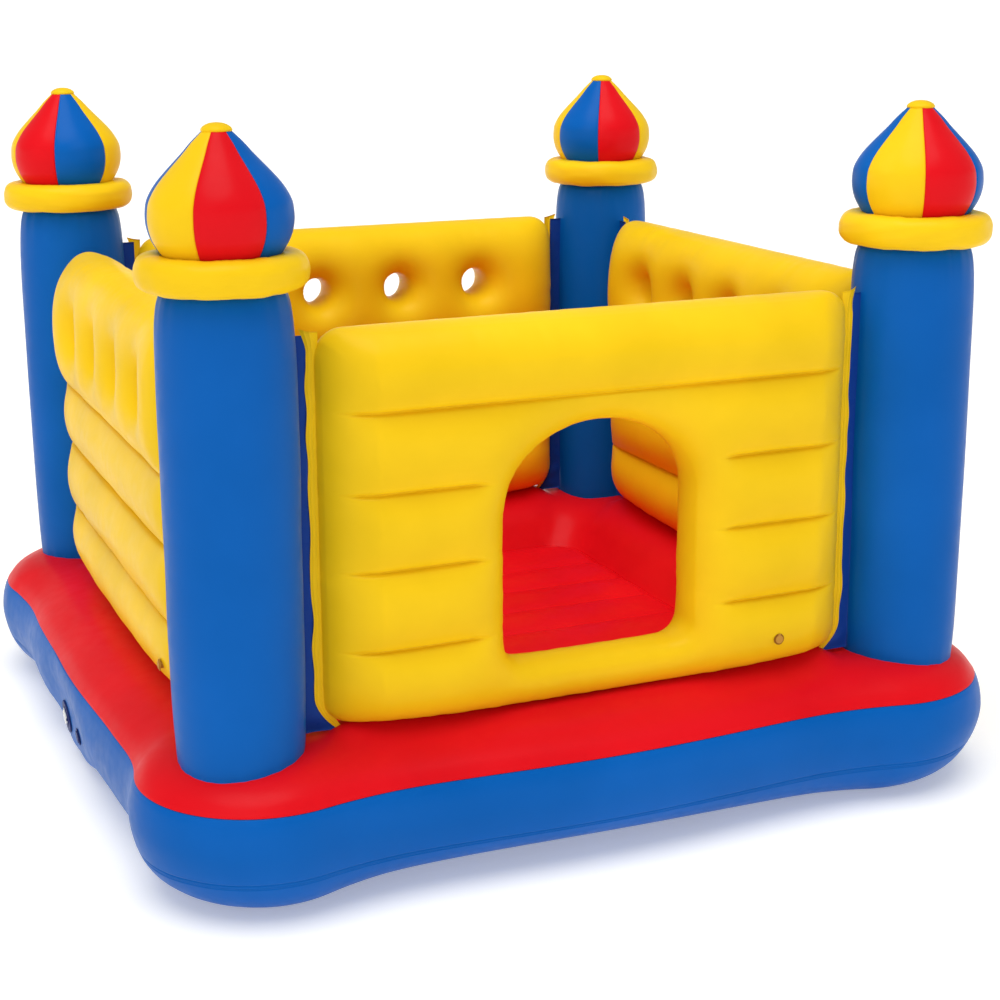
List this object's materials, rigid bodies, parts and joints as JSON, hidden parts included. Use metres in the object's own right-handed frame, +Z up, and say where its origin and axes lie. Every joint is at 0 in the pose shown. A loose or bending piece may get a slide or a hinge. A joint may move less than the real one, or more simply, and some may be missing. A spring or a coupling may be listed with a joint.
{
  "type": "inflatable bounce house",
  "caption": "Inflatable castle bounce house: padded base and channelled jump floor, quilted walls with an arched doorway and round windows, corner pillars with ring collars and onion domes.",
  "frame": {"origin": "on the ground under the centre of the base", "axes": "+Z up, the doorway faces -Y, the inflation valve is on the -X side"},
  "size_m": [1.7472, 1.7472, 1.35],
  "materials": {
    "blue_vinyl": "satin",
    "red_vinyl": "satin",
    "yellow_vinyl": "satin",
    "web_vinyl": "satin",
    "inner_strip": "satin",
    "blue_valve": "satin",
    "clear_valve": "satin"
  },
  "bodies": {
    "house": {"back_left_collar": "yellow_vinyl", "back_left_dome": "red_vinyl", "back_left_dome_cap": "yellow_vinyl", "back_left_pillar": "blue_vinyl", "back_right_collar": "yellow_vinyl", "back_right_dome": "red_vinyl", "back_right_dome_cap": "yellow_vinyl", "back_right_pillar": "blue_vinyl", "back_wall": "yellow_vinyl", "back_wall_left_web": "web_vinyl", "back_wall_right_web": "web_vinyl", "back_wall_strips": "inner_strip", "base_bottom_sheet": "blue_vinyl", "base_side_panel": "blue_vinyl", "base_top_panel": "red_vinyl", "floor_strip_1": "inner_strip", "floor_strip_2": "inner_strip", "floor_strip_3": "inner_strip", "floor_strip_4": "inner_strip", "floor_strip_5": "inner_strip", "floor_strip_6": "inner_strip", "front_left_collar": "yellow_vinyl", "front_left_dome": "red_vinyl", "front_left_dome_cap": "yellow_vinyl", "front_left_pillar": "blue_vinyl", "front_right_collar": "yellow_vinyl", "front_right_dome": "red_vinyl", "front_right_dome_cap": "yellow_vinyl", "front_right_pillar": "blue_vinyl", "front_wall": "yellow_vinyl", "front_wall_left_strips": "inner_strip", "front_wall_left_web": "web_vinyl", "front_wall_lintel_strip": "inner_strip", "front_wall_right_strips": "inner_strip", "front_wall_right_web": "web_vinyl", "inflation_valve_body": "blue_valve", "jump_floor": "red_vinyl", "left_wall": "yellow_vinyl", "left_wall_left_web": "web_vinyl", "left_wall_right_web": "web_vinyl", "left_wall_strips": "inner_strip", "right_wall": "yellow_vinyl", "right_wall_left_web": "web_vinyl", "right_wall_right_web": "web_vinyl", "right_wall_strips": "inner_strip"},
    "back_wall_valve_plug": {"back_wall_valve_plug": "clear_valve"},
    "back_wall_valve_stem": {"back_wall_valve_stem": "blue_valve"},
    "base_valve_plug": {"base_valve_plug": "blue_valve"},
    "base_valve_stem": {"base_valve_stem": "blue_valve"},
    "front_wall_valve_plug": {"front_wall_valve_plug": "clear_valve"},
    "front_wall_valve_stem": {"front_wall_valve_stem": "blue_valve"},
    "inflation_valve_cap": {"inflation_valve_cap": "clear_valve"},
    "inflation_valve_flap": {"inflation_valve_flap": "inner_strip"},
    "inflation_valve_insert": {"inflation_valve_insert": "blue_valve"},
    "left_wall_valve_plug": {"left_wall_valve_plug": "clear_valve"},
    "left_wall_valve_stem": {"left_wall_valve_stem": "blue_valve"},
    "right_wall_valve_plug": {"right_wall_valve_plug": "clear_valve"},
    "right_wall_valve_stem": {"right_wall_valve_stem": "blue_valve"}
  },
  "joints": [
    {"name": "front_wall_valve_pull", "type": "slide", "parent": "house", "child": "front_wall_valve_stem", "axis": [0, -1, 0], "range_m": [0, 0.012]},
    {"name": "front_wall_valve_plug_hinge", "type": "hinge", "parent": "front_wall_valve_stem", "child": "front_wall_valve_plug", "pos_m": [0.355, -0.7611, 0.362], "axis": [-1, 0, 0], "range_deg": [0, 120]},
    {"name": "right_wall_valve_pull", "type": "slide", "parent": "house", "child": "right_wall_valve_stem", "axis": [1, 0, 0], "range_m": [0, 0.012]},
    {"name": "right_wall_valve_plug_hinge", "type": "hinge", "parent": "right_wall_valve_stem", "child": "right_wall_valve_plug", "pos_m": [0.7611, 0.42, 0.362], "axis": [0, -1, 0], "range_deg": [0, 120]},
    {"name": "back_wall_valve_pull", "type": "slide", "parent": "house", "child": "back_wall_valve_stem", "axis": [0, 1, 0], "range_m": [0, 0.012]},
    {"name": "back_wall_valve_plug_hinge", "type": "hinge", "parent": "back_wall_valve_stem", "child": "back_wall_valve_plug", "pos_m": [-0.42, 0.7611, 0.362], "axis": [1, 0, 0], "range_deg": [0, 120]},
    {"name": "left_wall_valve_pull", "type": "slide", "parent": "house", "child": "left_wall_valve_stem", "axis": [-1, 0, 0], "range_m": [0, 0.012]},
    {"name": "left_wall_valve_plug_hinge", "type": "hinge", "parent": "left_wall_valve_stem", "child": "left_wall_valve_plug", "pos_m": [-0.7611, -0.42, 0.362], "axis": [0, 1, 0], "range_deg": [0, 120]},
    {"name": "inflation_valve_unscrew", "type": "hinge", "parent": "house", "child": "inflation_valve_insert", "pos_m": [-0.858, 0.045, 0.095], "axis": [-0.9942, 0, -0.1075], "range_deg": [0, 270]},
    {"name": "inflation_valve_cap_hinge", "type": "hinge", "parent": "inflation_valve_insert", "child": "inflation_valve_cap", "pos_m": [-0.86432, 0.045, 0.11343], "axis": [0, 1, 0], "range_deg": [0, 95]},
    {"name": "inflation_valve_flap_hinge", "type": "hinge", "parent": "inflation_valve_insert", "child": "inflation_valve_flap", "pos_m": [-0.8455, 0.045, 0.11244], "axis": [0, -1, 0], "range_deg": [0, 60]},
    {"name": "base_valve_pull", "type": "slide", "parent": "house", "child": "base_valve_stem", "axis": [-0.9942, 0, -0.1075], "range_m": [0, 0.012]},
    {"name": "base_valve_plug_hinge", "type": "hinge", "parent": "base_valve_stem", "child": "base_valve_plug", "pos_m": [-0.86009, -0.0574, 0.09477], "axis": [0.1075, 0, -0.9942], "range_deg": [0, 120]}
  ]
}
